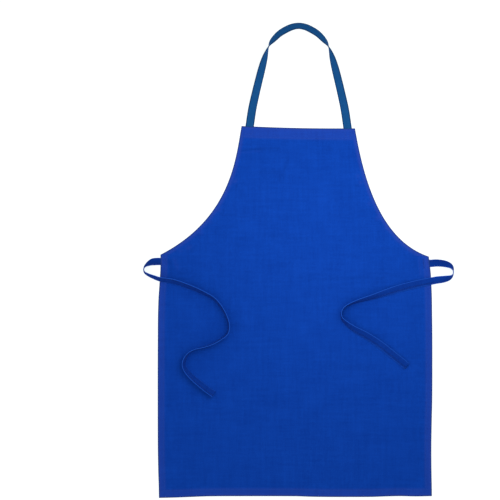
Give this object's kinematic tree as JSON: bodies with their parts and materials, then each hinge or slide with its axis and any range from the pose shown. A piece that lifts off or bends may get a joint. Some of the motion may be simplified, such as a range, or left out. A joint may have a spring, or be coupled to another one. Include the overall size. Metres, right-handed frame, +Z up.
{
  "type": "bib apron",
  "caption": "Cloth bib apron laid flat: curved armholes, turned hems, a webbing neck loop that twists over at its top, and two waist ties looped back over the front.",
  "frame": {"origin": "on the surface that the apron lies on, under the middle of the apron with its neck loop and without its ties", "axes": "+X across the apron to the right of its front, +Y from the bottom hem towards the neck loop, +Z up out of the front of the cloth"},
  "size_m": [0.7967, 1.2126, 0.0223],
  "materials": {
    "cloth": "plain-woven cotton, matte",
    "webbing": "flat woven tape, slight sheen",
    "thread": "twisted sewing thread"
  },
  "bodies": {
    "skirt": {"skirt_panel": "cloth", "left_side_hem": "cloth", "right_side_hem": "cloth", "bottom_hem": "cloth", "left_side_stitching": "thread", "right_side_stitching": "thread", "bottom_stitching": "thread", "left_tie_root": "cloth", "right_tie_root": "cloth", "left_tie_tack": "thread", "right_tie_tack": "thread"},
    "bib": {"bib_panel": "cloth", "top_hem": "cloth", "left_armhole_hem": "cloth", "right_armhole_hem": "cloth", "top_hem_stitching": "thread", "left_armhole_stitching": "thread", "right_armhole_stitching": "thread", "neck_strap_left_end": "webbing", "neck_strap_right_end": "webbing", "left_strap_tack": "thread", "right_strap_tack": "thread"},
    "neck_loop": {"neck_strap": "webbing"},
    "left_waist_tie": {"left_tie": "cloth"},
    "right_waist_tie": {"right_tie": "cloth"}
  },
  "joints": [
    {"name": "bib_fold", "type": "hinge", "parent": "skirt", "child": "bib", "pos_m": [0, 0.01328, 0.0023], "axis": [1, 0, 0], "range_deg": [0, 135]},
    {"name": "neck_loop_swing", "type": "hinge", "parent": "bib", "child": "neck_loop", "pos_m": [0.01, 0.33768, 0.0023], "axis": [0.9998, -0.0208, 0], "range_deg": [0, 172]},
    {"name": "left_tie_swing", "type": "hinge", "parent": "skirt", "child": "left_waist_tie", "pos_m": [-0.38645, -0.02562, 0.0114], "axis": [0, -1, 0], "range_deg": [0, 180]},
    {"name": "right_tie_swing", "type": "hinge", "parent": "skirt", "child": "right_waist_tie", "pos_m": [0.40694, -0.03272, 0.0114], "axis": [0, 1, 0], "range_deg": [0, 180]}
  ]
}
